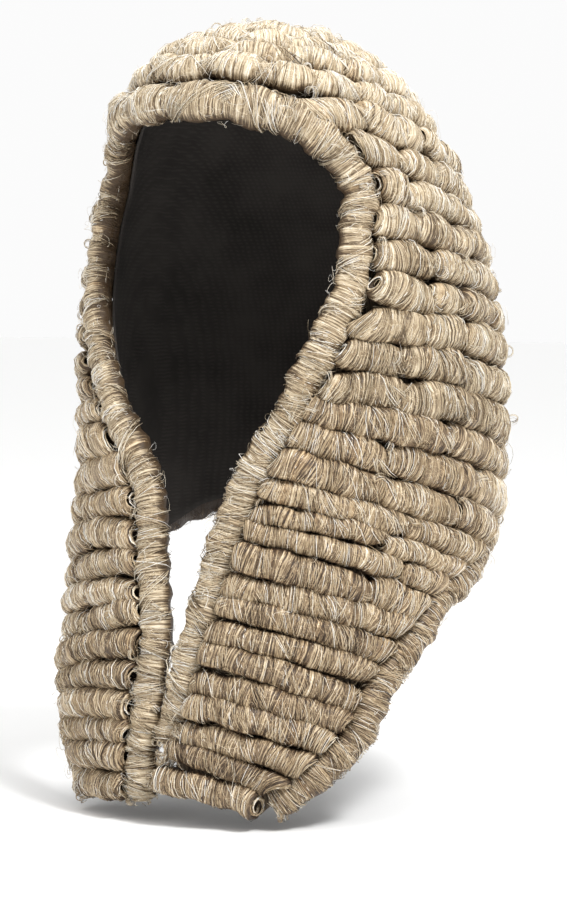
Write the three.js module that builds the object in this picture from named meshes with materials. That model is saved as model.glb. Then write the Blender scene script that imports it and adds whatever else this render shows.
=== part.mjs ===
import * as THREE from "three";

// Full-bottomed ceremonial wig of curled horsehair, in millimetres.
// +X is the wearer's left, -Y is the front and +Z is up.
// The origin is where the top of the head touches the inside of the cap.

// Reaches of the cap's outer face from the head's axis, and its drop in front.
const SIDE_REACH = 110;
const FRONT_REACH = 110;
const BACK_REACH = 116;
const FRONT_DROP = 400;
const CAP_WALL = 2;
// The wearer's right side hangs a little higher than the left.
const SIDE_LEAN = 0.05;

// Sizes of the curls and of the border rolls, and the gap between pieces.
const CURL_HEIGHT = 17;
const BUTTON_RADIUS = 11;
const FRONT_ROLL_RADIUS = 10;
const FACE_ROLL_RADIUS = 8.4;
const HEM_ROLL_RADIUS = 8.4;
const CLEARANCE = 0.35;
const ROW_GAP = 0.6;
const CURL_SIDES = 8;
const RING_STATIONS = 22;

// Run goes from 0 at the crown to 1 below the lappets' tips.
// The cap's shape along it: drop is a share of FRONT_DROP, and side, front
// and back of their reaches. Tilt is the fall of each ring toward the back.
const CAP_SHAPE = [
  { run: 0, drop: 0, side: 0, front: 0, back: 0, tilt: 0.12 },
  { run: 0.042, drop: 0.0025, side: 0.18, front: 0.218, back: 0.17, tilt: 0.14 },
  { run: 0.085, drop: 0.01, side: 0.335, front: 0.427, back: 0.305, tilt: 0.18 },
  { run: 0.127, drop: 0.025, side: 0.48, front: 0.578, back: 0.45, tilt: 0.22 },
  { run: 0.169, drop: 0.05, side: 0.595, front: 0.705, back: 0.59, tilt: 0.25 },
  { run: 0.215, drop: 0.0925, side: 0.68, front: 0.791, back: 0.715, tilt: 0.24 },
  { run: 0.288, drop: 0.1725, side: 0.773, front: 0.836, back: 0.853, tilt: 0.21 },
  { run: 0.365, drop: 0.265, side: 0.845, front: 0.845, back: 0.948, tilt: 0.16 },
  { run: 0.442, drop: 0.36, side: 0.882, front: 0.845, back: 1.0, tilt: 0.15 },
  { run: 0.519, drop: 0.45, side: 0.891, front: 0.855, back: 0.985, tilt: 0.22 },
  { run: 0.615, drop: 0.5525, side: 0.885, front: 0.873, back: 0.86, tilt: 0.34 },
  { run: 0.712, drop: 0.6625, side: 0.927, front: 0.909, back: 0.84, tilt: 0.43 },
  { run: 0.808, drop: 0.775, side: 0.975, front: 0.955, back: 0.86, tilt: 0.5 },
  { run: 0.904, drop: 0.8875, side: 1.0, front: 0.991, back: 0.86, tilt: 0.54 },
  { run: 1.0, drop: 1, side: 0.99, front: 1.0, back: 0.86, tilt: 0.56 },
];

// Edge of the face opening and the lappets' inner edges, in degrees round
// from the front, on the wearer's left and right.
const FACE_EDGE = [
  { run: 0.204, left: 0, right: 0 },
  { run: 0.2045, left: 14, right: 14 },
  { run: 0.207, left: 28, right: 28 },
  { run: 0.214, left: 40, right: 40 },
  { run: 0.229, left: 49, right: 49 },
  { run: 0.252, left: 56, right: 56 },
  { run: 0.283, left: 60, right: 60 },
  { run: 0.329, left: 57, right: 57 },
  { run: 0.381, left: 54.5, right: 54.5 },
  { run: 0.435, left: 46.5, right: 46.5 },
  { run: 0.49, left: 38.5, right: 36 },
  { run: 0.55, left: 31, right: 24 },
  { run: 0.6, left: 25, right: 14 },
  { run: 0.648, left: 20.5, right: 8 },
  { run: 0.713, left: 15.5, right: 5 },
  { run: 0.758, left: 12.5, right: 3 },
  { run: 0.8, left: 9.5, right: 1.8 },
  { run: 0.846, left: 6.8, right: 2.8 },
  { run: 0.894, left: 5.2, right: 4 },
  { run: 0.923, left: 4.6, right: 4.8 },
  { run: 0.962, left: 1.5, right: 5 },
];
const FACE_ROLL_END_LEFT = 0.91;
const FACE_ROLL_END_RIGHT = 0.978;

// The hem, in degrees round from the front, the same on both sides.
const HEM_EDGE = [
  { run: 0.521, angle: 180 },
  { run: 0.526, angle: 165 },
  { run: 0.542, angle: 150 },
  { run: 0.568, angle: 130 },
  { run: 0.59, angle: 115 },
  { run: 0.626, angle: 101 },
  { run: 0.647, angle: 92 },
  { run: 0.668, angle: 83 },
  { run: 0.706, angle: 74 },
  { run: 0.744, angle: 66.5 },
  { run: 0.781, angle: 59.5 },
  { run: 0.817, angle: 54.5 },
  { run: 0.848, angle: 51 },
  { run: 0.885, angle: 45 },
  { run: 0.919, angle: 38 },
  { run: 0.944, angle: 32 },
  { run: 0.975, angle: 26 },
];
const HEM_ROLL_END_LEFT = 0.945;
const HEM_ROLL_END_RIGHT = 0.972;

// Border lines between neighbouring rows of curls, as runs.
const CROWN_BORDERS = [0.025, 0.056, 0.087, 0.118, 0.149, 0.18];
const HEAD_BORDERS = [
  0.18, 0.217, 0.254, 0.29, 0.33, 0.367, 0.402, 0.437, 0.47, 0.503,
];
const LEFT_BORDERS = [
  0.503, 0.534, 0.568, 0.602, 0.629, 0.652, 0.676, 0.71, 0.739, 0.765,
  0.792, 0.821, 0.85, 0.879, 0.907, 0.934, 0.963,
];
const RIGHT_BORDERS = [
  0.503, 0.53, 0.561, 0.604, 0.643, 0.676, 0.71, 0.741, 0.771, 0.802,
  0.833, 0.863, 0.893, 0.921, 0.951, 0.982,
];
const CAP_LEVELS = [
  0.02, 0.055, 0.09, 0.127, 0.16, 0.187, 0.204, 0.2045, 0.207, 0.214, 0.229,
  0.252, 0.283, 0.329, 0.381, 0.435, 0.48, 0.521, 0.526, 0.542, 0.568, 0.594,
  0.626, 0.668, 0.712, 0.76, 0.808, 0.856, 0.904, 0.935, 0.965,
];
const CAP_STATIONS = 10;

// One column of a table at a run between its rows, by a smooth cubic.
function smoothColumn(table, column, run) {
  let i = 0;
  while (i < table.length - 2 && run >= table[i + 1].run) i += 1;
  const slopeAt = (k) => {
    const before = table[Math.max(k - 1, 0)];
    const after = table[Math.min(k + 1, table.length - 1)];
    return (after[column] - before[column]) / (after.run - before.run);
  };
  const step = table[i + 1].run - table[i].run;
  const t = (run - table[i].run) / step;
  const near = (2 * t ** 3 - 3 * t ** 2 + 1) * table[i][column];
  const far = (-2 * t ** 3 + 3 * t ** 2) * table[i + 1][column];
  const leave = (t ** 3 - 2 * t ** 2 + t) * step * slopeAt(i);
  const arrive = (t ** 3 - t ** 2) * step * slopeAt(i + 1);
  return near + far + leave + arrive;
}

// One column of a table at a run between its rows, by straight lines.
function straightColumn(table, column, run) {
  if (run <= table[0].run) return table[0][column];
  for (let i = 1; i < table.length; i += 1) {
    if (run <= table[i].run) {
      const t = (run - table[i - 1].run) / (table[i].run - table[i - 1].run);
      return table[i - 1][column] + t * (table[i][column] - table[i - 1][column]);
    }
  }
  return table[table.length - 1][column];
}

// A point of the cap's outer face. The angle is in degrees from the front,
// and grows toward the wearer's left.
function capPoint(angle, run) {
  const turn = THREE.MathUtils.degToRad(angle);
  const side = SIDE_REACH * smoothColumn(CAP_SHAPE, "side", run);
  const front = FRONT_REACH * smoothColumn(CAP_SHAPE, "front", run);
  const back = BACK_REACH * smoothColumn(CAP_SHAPE, "back", run);
  const x = side * Math.sin(turn);
  const y = -Math.cos(turn) * (Math.cos(turn) > 0 ? front : back);
  const lean = SIDE_LEAN * x * Math.min(run * 2.26, 1.5);
  const fall = smoothColumn(CAP_SHAPE, "tilt", run) * (y + front);
  const drop = FRONT_DROP * smoothColumn(CAP_SHAPE, "drop", run);
  return new THREE.Vector3(x, y, CAP_WALL - drop - fall - lean);
}

function capNormal(angle, run) {
  const at = Math.max(run, 0.004);
  const round = capPoint(angle + 0.1, at).sub(capPoint(angle - 0.1, at));
  const down = capPoint(angle, at + 0.001).sub(capPoint(angle, at - 0.001));
  return down.cross(round).normalize();
}

function abovecap(angle, run, height) {
  return capPoint(angle, run).addScaledVector(capNormal(angle, run), height);
}

// A closed tube through stations that each have a centre, two half sizes and
// the directions they are measured in.
function tubeGeometry(stations, closed) {
  const positions = [];
  const indices = [];
  const count = stations.length;
  for (const station of stations) {
    for (let k = 0; k < CURL_SIDES; k += 1) {
      const turn = ((k + 0.5) / CURL_SIDES) * 2 * Math.PI;
      const reach = 1 / Math.cos(Math.PI / CURL_SIDES);
      const point = station.centre.clone();
      point.addScaledVector(station.across, station.halfWidth * reach * Math.cos(turn));
      point.addScaledVector(station.up, station.halfHeight * reach * Math.sin(turn));
      positions.push(point.x, point.y, point.z);
    }
  }
  const last = closed ? count : count - 1;
  for (let i = 0; i < last; i += 1) {
    const here = i * CURL_SIDES;
    const next = ((i + 1) % count) * CURL_SIDES;
    for (let k = 0; k < CURL_SIDES; k += 1) {
      const k2 = (k + 1) % CURL_SIDES;
      indices.push(here + k, next + k2, here + k2);
      indices.push(here + k, next + k, next + k2);
    }
  }
  if (!closed) {
    const end = (count - 1) * CURL_SIDES;
    for (let k = 1; k < CURL_SIDES - 1; k += 1) {
      indices.push(0, k, k + 1);
      indices.push(end, end + k + 1, end + k);
    }
  }
  return solidGeometry(positions, indices);
}

// A body whose faces point out, whichever way its triangles were listed.
function solidGeometry(positions, indices) {
  const corner = (k) => new THREE.Vector3().fromArray(positions, 3 * indices[k]);
  let volume = 0;
  for (let k = 0; k < indices.length; k += 3) {
    volume += corner(k).dot(corner(k + 1).cross(corner(k + 2)));
  }
  if (volume < 0) indices.reverse();
  const geometry = new THREE.BufferGeometry();
  geometry.setAttribute("position", new THREE.Float32BufferAttribute(positions, 3));
  geometry.setIndex(indices);
  geometry.computeVertexNormals();
  return geometry;
}

// A row of curls lies between two border lines and fills the band they leave.
function curlStation(angle, top, bottom, height) {
  const lift = CLEARANCE + height / 2;
  // The middle of each straight stretch lies lower than its ends.
  const sag = 1.1;
  const upper = abovecap(angle, top, lift + sag);
  const lower = abovecap(angle, bottom, lift + sag);
  const middle = (top + bottom) / 2;
  const ahead = abovecap(angle + 1, middle, lift);
  const along = ahead.sub(abovecap(angle - 1, middle, lift)).normalize();
  const across = lower.clone().sub(upper);
  across.addScaledVector(along, -across.dot(along));
  // The band is narrowest at one end or the other of the tube's flat side.
  const flatSide = (height / 2) * Math.tan(Math.PI / CURL_SIDES);
  const bandAt = (level) =>
    abovecap(angle, top, level).distanceTo(abovecap(angle, bottom, level));
  const band = Math.min(bandAt(lift - flatSide), bandAt(lift + flatSide));
  across.normalize();
  const slant = lower.clone().sub(upper).normalize().dot(across);
  const halfWidth = (band * slant - ROW_GAP) / 2;
  const up = along.clone().cross(across).normalize();
  if (up.dot(capNormal(angle, middle)) < 0) up.negate();
  return {
    centre: upper.add(lower).multiplyScalar(0.5),
    across,
    up,
    halfWidth,
    halfHeight: height / 2,
  };
}

// A border roll follows a line of angles and runs over the cap.
function rollStations(line, radiusAt) {
  const centre = (k) => {
    const at = line[THREE.MathUtils.clamp(k, 0, line.length - 1)];
    const flat = radiusAt(at) * Math.cos(Math.PI / CURL_SIDES);
    return abovecap(at.angle, at.run, flat + CLEARANCE);
  };
  return line.map((at, k) => {
    const along = centre(k + 1).sub(centre(k - 1)).normalize();
    const up = capNormal(at.angle, at.run);
    up.addScaledVector(along, -up.dot(along)).normalize();
    // Corners on the circle, so that no corner leaves the roll's radius.
    const flat = radiusAt(at) * Math.cos(Math.PI / CURL_SIDES);
    return {
      centre: centre(k),
      across: along.clone().cross(up),
      up,
      halfWidth: flat,
      halfHeight: flat,
      radius: radiusAt(at),
    };
  });
}

// A line through table rows of angle and run, with points between them.
function smoothLine(rows, steps) {
  const line = [];
  for (let i = 0; i < rows.length - 1; i += 1) {
    const around = [i - 1, i, i + 1, i + 2].map(
      (k) => rows[THREE.MathUtils.clamp(k, 0, rows.length - 1)],
    );
    for (let k = 0; k < steps; k += 1) {
      const t = k / steps;
      const mix = (c) => {
        const [a, b, d, e] = around.map((row) => row[c]);
        const curve = 2 * a - 5 * b + 4 * d - e;
        const twist = 3 * b - 3 * d + e - a;
        return b + 0.5 * t * (d - a + t * (curve + t * twist));
      };
      line.push({ angle: mix("angle"), run: mix("run") });
    }
  }
  line.push(rows[rows.length - 1]);
  return line;
}

// Both sides of an edge table as one line from the wearer's left to right,
// each side cut off where its roll ends.
function edgeLine(table, leftColumn, rightColumn, leftEnd, rightEnd, fromTop) {
  const sideRows = (column, sign, end) => {
    const rows = table.filter((row) => row.run < end);
    const path = rows.map((row) => ({ angle: sign * row[column], run: row.run }));
    path.push({ angle: sign * straightColumn(table, column, end), run: end });
    return path;
  };
  const left = sideRows(leftColumn, 1, leftEnd).reverse();
  const right = sideRows(rightColumn, -1, rightEnd).slice(1);
  if (!fromTop) {
    for (const row of right) row.angle += 360;
  }
  return left.concat(right);
}

const faceRows = edgeLine(
  FACE_EDGE, "left", "right", FACE_ROLL_END_LEFT, FACE_ROLL_END_RIGHT, true,
);
const hemRows = edgeLine(
  HEM_EDGE, "angle", "angle", HEM_ROLL_END_LEFT, HEM_ROLL_END_RIGHT, false,
);

// The face roll is thickest over the forehead.
function faceRollRadius(at) {
  const t = THREE.MathUtils.smoothstep(at.run, 0.204, 0.26);
  return THREE.MathUtils.lerp(FRONT_ROLL_RADIUS, FACE_ROLL_RADIUS, t);
}

const faceRoll = rollStations(smoothLine(faceRows, 2), faceRollRadius);
const hemRoll = rollStations(smoothLine(hemRows, 2), () => HEM_ROLL_RADIUS);

// The distance left between a station's corners and a roll's outside.
function roomBeside(station, roll) {
  let room = Infinity;
  const segment = new THREE.Line3();
  const nearest = new THREE.Vector3();
  // Corners and the middles of the flats between them.
  for (let k = 0; k < 2 * CURL_SIDES; k += 1) {
    const turn = (k / CURL_SIDES) * Math.PI;
    const reach = k % 2 ? 1 / Math.cos(Math.PI / CURL_SIDES) : 1;
    const point = station.centre.clone();
    point.addScaledVector(station.across, station.halfWidth * reach * Math.cos(turn));
    point.addScaledVector(station.up, station.halfHeight * reach * Math.sin(turn));
    for (let i = 0; i < roll.length - 1; i += 1) {
      segment.set(roll[i].centre, roll[i + 1].centre);
      segment.closestPointToPoint(point, true, nearest);
      const radius = Math.max(roll[i].radius, roll[i + 1].radius);
      room = Math.min(room, nearest.distanceTo(point) - radius);
    }
  }
  return room;
}

// The angle where a row can begin, going away from an edge until it is clear.
function clearAngle(start, step, top, bottom, roll) {
  let angle = start;
  for (let i = 0; i < 240; i += 1) {
    const station = curlStation(angle, top, bottom, CURL_HEIGHT);
    if (roomBeside(station, roll) >= ROW_GAP) return angle;
    angle += step;
  }
  return angle;
}

// All rows bend at the same angles, so that neighbours stay parallel.
function rowStations(from, to, top, bottom) {
  const step = 360 / RING_STATIONS;
  const sign = Math.sign(to - from);
  const angles = [from];
  for (let k = -RING_STATIONS; k <= RING_STATIONS; k += 1) {
    const angle = sign * k * step;
    const past = sign * (angle - from);
    const left = sign * (to - angle);
    if (past > step / 8 && left > step / 8) angles.push(angle);
  }
  angles.push(to);
  return angles.map((angle) => curlStation(angle, top, bottom, CURL_HEIGHT));
}

const wig = new THREE.Group();
const pale = new THREE.MeshStandardMaterial({ color: 0xd9ccaf, roughness: 0.85, metalness: 0 });
const warm = new THREE.MeshStandardMaterial({ color: 0xc9b48f, roughness: 0.85, metalness: 0 });
const dark = new THREE.MeshStandardMaterial({ color: 0x171412, roughness: 0.95, metalness: 0 });

function addPiece(name, geometry, material) {
  const mesh = new THREE.Mesh(geometry, material);
  mesh.name = name;
  wig.add(mesh);
}

// The cap: one sheet over the head that runs down into two front lappets.
// It is open at the face and below, and its wall has the same thickness.
function capGeometry() {
  const corners = [];
  const found = new Map();
  const corner = (angle, run) => {
    const round = angle <= -180 ? angle + 360 : angle;
    const key = `${round.toFixed(4)}:${run.toFixed(4)}`;
    if (!found.has(key)) {
      found.set(key, corners.length);
      corners.push({ angle: round, run });
    }
    return found.get(key);
  };
  const triangles = [];
  for (const [column, sign] of [["left", 1], ["right", -1]]) {
    const ring = CAP_LEVELS.map((run) => {
      const front = straightColumn(FACE_EDGE, column, run);
      const hem = straightColumn(HEM_EDGE, "angle", run);
      return Array.from({ length: CAP_STATIONS + 1 }, (_, k) =>
        corner(sign * (front + ((hem - front) * k) / CAP_STATIONS), run),
      );
    });
    const crown = corner(0, 0);
    for (let k = 0; k < CAP_STATIONS; k += 1) {
      const first = [crown, ring[0][k], ring[0][k + 1]];
      triangles.push(sign > 0 ? first : first.reverse());
    }
    for (let i = 0; i < ring.length - 1; i += 1) {
      for (let k = 0; k < CAP_STATIONS; k += 1) {
        const a = [ring[i][k], ring[i + 1][k], ring[i + 1][k + 1]];
        const b = [ring[i][k], ring[i + 1][k + 1], ring[i][k + 1]];
        triangles.push(sign > 0 ? a : a.reverse(), sign > 0 ? b : b.reverse());
      }
    }
  }
  // The same sheet again one wall further in, and rims where a sheet ends.
  const positions = [];
  for (const depth of [0, CAP_WALL]) {
    for (const { angle, run } of corners) {
      const point = run === 0
        ? new THREE.Vector3(0, 0, CAP_WALL - depth)
        : abovecap(angle, run, -depth);
      positions.push(point.x, point.y, point.z);
    }
  }
  const inner = corners.length;
  const edges = new Set();
  for (const [a, b, c] of triangles) edges.add(`${a}-${b}`).add(`${b}-${c}`).add(`${c}-${a}`);
  const indices = [];
  for (const [a, b, c] of triangles) {
    indices.push(a, b, c, inner + a, inner + c, inner + b);
    for (const [p, q] of [[a, b], [b, c], [c, a]]) {
      if (!edges.has(`${q}-${p}`)) {
        indices.push(p, inner + p, inner + q, p, inner + q, q);
      }
    }
  }
  return solidGeometry(positions, indices);
}

addPiece("cap_foundation", capGeometry(), dark);
addPiece("face_roll", tubeGeometry(faceRoll, false), pale);
addPiece("hem_roll", tubeGeometry(hemRoll, false), warm);

// The crown: a small domed curl with closed rings of curls round it.
const buttonProfile = [
  new THREE.Vector2(0, CAP_WALL + CLEARANCE),
  new THREE.Vector2(BUTTON_RADIUS * 0.8, CAP_WALL + CLEARANCE),
  new THREE.Vector2(BUTTON_RADIUS, CAP_WALL + CLEARANCE + CURL_HEIGHT * 0.3),
  new THREE.Vector2(BUTTON_RADIUS * 0.75, CAP_WALL + CLEARANCE + CURL_HEIGHT * 0.85),
  new THREE.Vector2(0, CAP_WALL + CLEARANCE + CURL_HEIGHT),
];
const button = new THREE.LatheGeometry(buttonProfile, 12);
button.rotateX(Math.PI / 2);
addPiece("crown_button", button, pale);
for (let i = 0; i < CROWN_BORDERS.length - 1; i += 1) {
  const [top, bottom] = [CROWN_BORDERS[i], CROWN_BORDERS[i + 1]];
  const stations = [];
  for (let k = 0; k < RING_STATIONS; k += 1) {
    stations.push(curlStation((360 * k) / RING_STATIONS, top, bottom, CURL_HEIGHT));
  }
  addPiece(`crown_ring_${i + 1}`, tubeGeometry(stations, true), pale);
}

// Rows that go from one face edge round the back to the other.
for (let i = 0; i < HEAD_BORDERS.length - 1; i += 1) {
  const [top, bottom] = [HEAD_BORDERS[i], HEAD_BORDERS[i + 1]];
  const middle = (top + bottom) / 2;
  const left = straightColumn(FACE_EDGE, "left", middle);
  const right = straightColumn(FACE_EDGE, "right", middle);
  const from = clearAngle(left, 0.5, top, bottom, faceRoll);
  const to = clearAngle(360 - right, -0.5, top, bottom, faceRoll);
  const stations = rowStations(from, to, top, bottom);
  addPiece(`head_row_${i + 1}`, tubeGeometry(stations, false), pale);
}

// Rows that end at the hem, on the neck and down each lappet.
for (const [side, sign, borders] of [["left", 1, LEFT_BORDERS], ["right", -1, RIGHT_BORDERS]]) {
  for (let i = 0; i < borders.length - 1; i += 1) {
    const [top, bottom] = [borders[i], borders[i + 1]];
    const middle = (top + bottom) / 2;
    const edge = sign * straightColumn(FACE_EDGE, side, middle);
    const hem = sign * straightColumn(HEM_EDGE, "angle", middle);
    const from = clearAngle(edge, sign * 0.5, top, bottom, faceRoll);
    const to = clearAngle(hem, -sign * 0.5, top, bottom, hemRoll);
    const stations = rowStations(from, to, top, bottom);
    addPiece(`${side}_row_${i + 1}`, tubeGeometry(stations, false), warm);
  }
}

export default wig;
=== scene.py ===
"""A full-bottomed ceremonial wig of curled horsehair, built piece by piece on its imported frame."""
import math

import bpy
import numpy as np
from mathutils import Matrix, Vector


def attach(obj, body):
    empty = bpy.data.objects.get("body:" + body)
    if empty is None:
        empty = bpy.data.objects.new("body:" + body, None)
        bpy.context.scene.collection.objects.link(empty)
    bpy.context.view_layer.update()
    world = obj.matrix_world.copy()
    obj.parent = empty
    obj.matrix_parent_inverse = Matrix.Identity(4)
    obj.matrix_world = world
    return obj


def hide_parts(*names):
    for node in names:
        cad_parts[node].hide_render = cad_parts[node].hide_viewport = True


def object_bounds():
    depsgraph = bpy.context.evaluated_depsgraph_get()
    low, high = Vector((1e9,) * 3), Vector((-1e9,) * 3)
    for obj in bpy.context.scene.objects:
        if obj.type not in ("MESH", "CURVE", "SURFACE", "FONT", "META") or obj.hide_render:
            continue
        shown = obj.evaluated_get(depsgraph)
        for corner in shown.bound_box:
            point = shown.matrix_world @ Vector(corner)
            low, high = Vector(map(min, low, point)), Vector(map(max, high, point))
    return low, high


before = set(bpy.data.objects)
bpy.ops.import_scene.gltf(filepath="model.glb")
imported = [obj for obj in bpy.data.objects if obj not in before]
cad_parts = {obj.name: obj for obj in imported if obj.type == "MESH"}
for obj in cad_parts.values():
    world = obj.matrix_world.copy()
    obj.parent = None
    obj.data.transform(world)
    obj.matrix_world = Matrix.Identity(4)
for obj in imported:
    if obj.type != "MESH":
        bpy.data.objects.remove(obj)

cad_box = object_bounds()

# The view of the portrait: a long lens a little above the wig's middle,
# turned 35 degrees toward the wearer's left and tipped slightly down.
VIEW_TURN = math.radians(35)
VIEW_TIP = math.radians(3.2)
VIEW_DISTANCE = 1.6
VIEW_HEIGHT = -0.128
VIEW_LENS_PIXELS = 2938
FRAME_WIDTH, FRAME_HEIGHT = 567, 923
AXIS_COLUMN = 287

view_back = np.array([
    math.sin(VIEW_TURN) * math.cos(VIEW_TIP),
    -math.cos(VIEW_TURN) * math.cos(VIEW_TIP),
    math.sin(VIEW_TIP),
])
view_right = np.array([math.cos(VIEW_TURN), math.sin(VIEW_TURN), 0.0])
view_up = np.cross(view_back, view_right)
view_place = np.array([math.sin(VIEW_TURN), -math.cos(VIEW_TURN), 0.0]) * VIEW_DISTANCE
view_place += [0.0, 0.0, VIEW_HEIGHT]
view_place -= view_right * ((AXIS_COLUMN - FRAME_WIDTH / 2) * VIEW_DISTANCE / VIEW_LENS_PIXELS)
camera_data = bpy.data.cameras.new("portrait_camera")
camera_data.sensor_width = 36.0
camera_data.lens = VIEW_LENS_PIXELS * camera_data.sensor_width / FRAME_HEIGHT
camera_data.clip_start, camera_data.clip_end = 0.05, 60.0
camera = bpy.data.objects.new("portrait_camera", camera_data)
camera.matrix_world = Matrix([
    [view_right[i], view_up[i], view_back[i], view_place[i]] for i in range(3)
] + [[0, 0, 0, 1]])
bpy.context.scene.collection.objects.link(camera)
bpy.context.scene.camera = camera

# Cap foundation: one cloth sheet, sewn to the head's shape, that runs down
# into two lappets. It is near-black, and every row of curls is sewn on it.
SIDE_REACH, FRONT_REACH, BACK_REACH, FRONT_DROP = 0.110, 0.110, 0.116, 0.400
CAP_WALL = 0.002
SIDE_LEAN, LEAN_GROWTH, MOST_LEAN = 0.05, 2.26, 1.5
CLOTH_THICKNESS = 0.0014
CAP_SHAPE = np.array([
    # run, drop, side, front, back, tilt
    [0, 0, 0, 0, 0, 0.12],
    [0.042, 0.0025, 0.18, 0.218, 0.17, 0.14],
    [0.085, 0.01, 0.335, 0.427, 0.305, 0.18],
    [0.127, 0.025, 0.48, 0.578, 0.45, 0.22],
    [0.169, 0.05, 0.595, 0.705, 0.59, 0.25],
    [0.215, 0.0925, 0.68, 0.791, 0.715, 0.24],
    [0.288, 0.1725, 0.773, 0.836, 0.853, 0.21],
    [0.365, 0.265, 0.845, 0.845, 0.948, 0.16],
    [0.442, 0.36, 0.882, 0.845, 1.0, 0.15],
    [0.519, 0.45, 0.891, 0.855, 0.985, 0.22],
    [0.615, 0.5525, 0.885, 0.873, 0.86, 0.34],
    [0.712, 0.6625, 0.927, 0.909, 0.84, 0.43],
    [0.808, 0.775, 0.975, 0.955, 0.86, 0.5],
    [0.904, 0.8875, 1.0, 0.991, 0.86, 0.54],
    [1.0, 1.0, 0.99, 1.0, 0.86, 0.56],
])
DROP, SIDE, FRONT, BACK, TILT = 1, 2, 3, 4, 5
# Inner edges: run, degrees from the front on the wearer's left and right.
FACE_EDGE = np.array([
    [0.204, 0, 0], [0.2045, 14, 14], [0.207, 28, 28], [0.214, 40, 40],
    [0.229, 49, 49], [0.252, 56, 56], [0.283, 60, 60], [0.329, 57, 57],
    [0.381, 54.5, 54.5], [0.435, 46.5, 46.5], [0.49, 38.5, 36], [0.55, 31, 24],
    [0.6, 25, 14], [0.648, 20.5, 8], [0.713, 15.5, 5], [0.758, 12.5, 3],
    [0.8, 9.5, 1.8], [0.846, 6.8, 2.8], [0.894, 5.2, 4], [0.923, 4.6, 4.8],
    [0.962, 1.5, 5],
])
# The hem: run, and degrees from the front on both sides.
HEM_EDGE = np.array([
    [0.521, 180], [0.526, 165], [0.542, 150], [0.568, 130], [0.59, 115],
    [0.626, 101], [0.647, 92], [0.668, 83], [0.706, 74], [0.744, 66.5],
    [0.781, 59.5], [0.817, 54.5], [0.848, 51], [0.885, 45], [0.919, 38],
    [0.944, 32], [0.975, 26],
])
CAP_LEVELS = np.concatenate([
    np.linspace(0.006, 0.204, 26), [0.2045, 0.207, 0.214, 0.229],
    np.linspace(0.24, 0.52, 30), [0.521, 0.526], np.linspace(0.534, 0.965, 44),
])
CAP_ACROSS = 30
LEFT, RIGHT = 1, 2
CLOTH_DARK, CLOTH_FADED = (0.012, 0.011, 0.010, 1), (0.05, 0.044, 0.040, 1)
ROOT_STRETCH = (1.0, 1.0, 0.12)
ROOT_DARK, ROOT_LIGHT = (0.045, 0.030, 0.019, 1), (0.30, 0.22, 0.135, 1)


def smooth_column(table, column, run):
    """Cubic through a table's column: each stretch between two rows leaves and
    arrives with the mean slope over the rows on either side."""
    runs, values = table[:, 0], table[:, column]
    rows = np.arange(len(runs))
    before, after = np.maximum(rows - 1, 0), np.minimum(rows + 1, len(runs) - 1)
    slopes = (values[after] - values[before]) / (runs[after] - runs[before])
    i = np.clip(np.searchsorted(runs, run, side="right") - 1, 0, len(runs) - 2)
    step = runs[i + 1] - runs[i]
    t = (run - runs[i]) / step
    near = (2 * t**3 - 3 * t**2 + 1) * values[i] + (3 * t**2 - 2 * t**3) * values[i + 1]
    return near + step * ((t**3 - 2 * t**2 + t) * slopes[i] + (t**3 - t**2) * slopes[i + 1])


def straight_column(table, column, run):
    """The column's value at a run, by straight lines between the rows."""
    return np.interp(run, table[:, 0], table[:, column])


def cap_point(angle, run):
    """Outer face of the cap: an oval of its own width and depths at each run,
    lowered by the drop, tipped down toward the back and a little to one side."""
    angle, run = np.broadcast_arrays(np.asarray(angle, float), np.asarray(run, float))
    turn = np.radians(angle)
    front = FRONT_REACH * smooth_column(CAP_SHAPE, FRONT, run)
    back = BACK_REACH * smooth_column(CAP_SHAPE, BACK, run)
    x = SIDE_REACH * smooth_column(CAP_SHAPE, SIDE, run) * np.sin(turn)
    y = -np.cos(turn) * np.where(np.cos(turn) > 0, front, back)
    z = CAP_WALL - FRONT_DROP * smooth_column(CAP_SHAPE, DROP, run)
    z = z - smooth_column(CAP_SHAPE, TILT, run) * (y + front)
    return np.stack([x, y, z - SIDE_LEAN * x * np.minimum(run * LEAN_GROWTH, MOST_LEAN)], -1)


def unit(vectors):
    """Each vector over its own length."""
    return vectors / np.maximum(np.linalg.norm(vectors, axis=-1, keepdims=True), 1e-12)


def above_cap(angle, run, height):
    """A point at a height over the cap, along the cross product of the
    surface's small steps downward and round."""
    at = np.maximum(run, 0.004)
    round_it = cap_point(np.add(angle, 0.1), at) - cap_point(np.subtract(angle, 0.1), at)
    down = cap_point(angle, at + 0.001) - cap_point(angle, at - 0.001)
    normal = unit(np.cross(down, round_it))
    return cap_point(angle, run) + normal * np.asarray(height, float)[..., None]


def fill_mesh(name, points, quads, tris):
    """A mesh from arrays of corners, four-sided faces and three-sided faces."""
    mesh = bpy.data.meshes.new(name)
    mesh.vertices.add(len(points))
    mesh.vertices.foreach_set("co", np.ascontiguousarray(points, np.float32).ravel())
    corners = np.concatenate([np.ravel(quads), np.ravel(tris)]).astype(np.int32)
    mesh.loops.add(len(corners))
    mesh.loops.foreach_set("vertex_index", corners)
    starts = np.concatenate([
        np.arange(len(quads)) * 4, len(quads) * 4 + np.arange(len(tris)) * 3,
    ]).astype(np.int32)
    mesh.polygons.add(len(starts))
    mesh.polygons.foreach_set("loop_start", starts)
    mesh.update(calc_edges=True)
    mesh.polygons.foreach_set("use_smooth", np.ones(len(starts), bool))
    mesh.validate()
    return mesh


def add_piece(name, mesh, material, slot, *nodes):
    """Puts a finished mesh in the scene, riding on the wig and standing for nodes."""
    piece = bpy.data.objects.new(name, mesh)
    bpy.context.scene.collection.objects.link(piece)
    mesh.materials.append(material)
    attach(piece, "root")
    if nodes:
        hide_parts(*nodes)
    return piece


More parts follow.
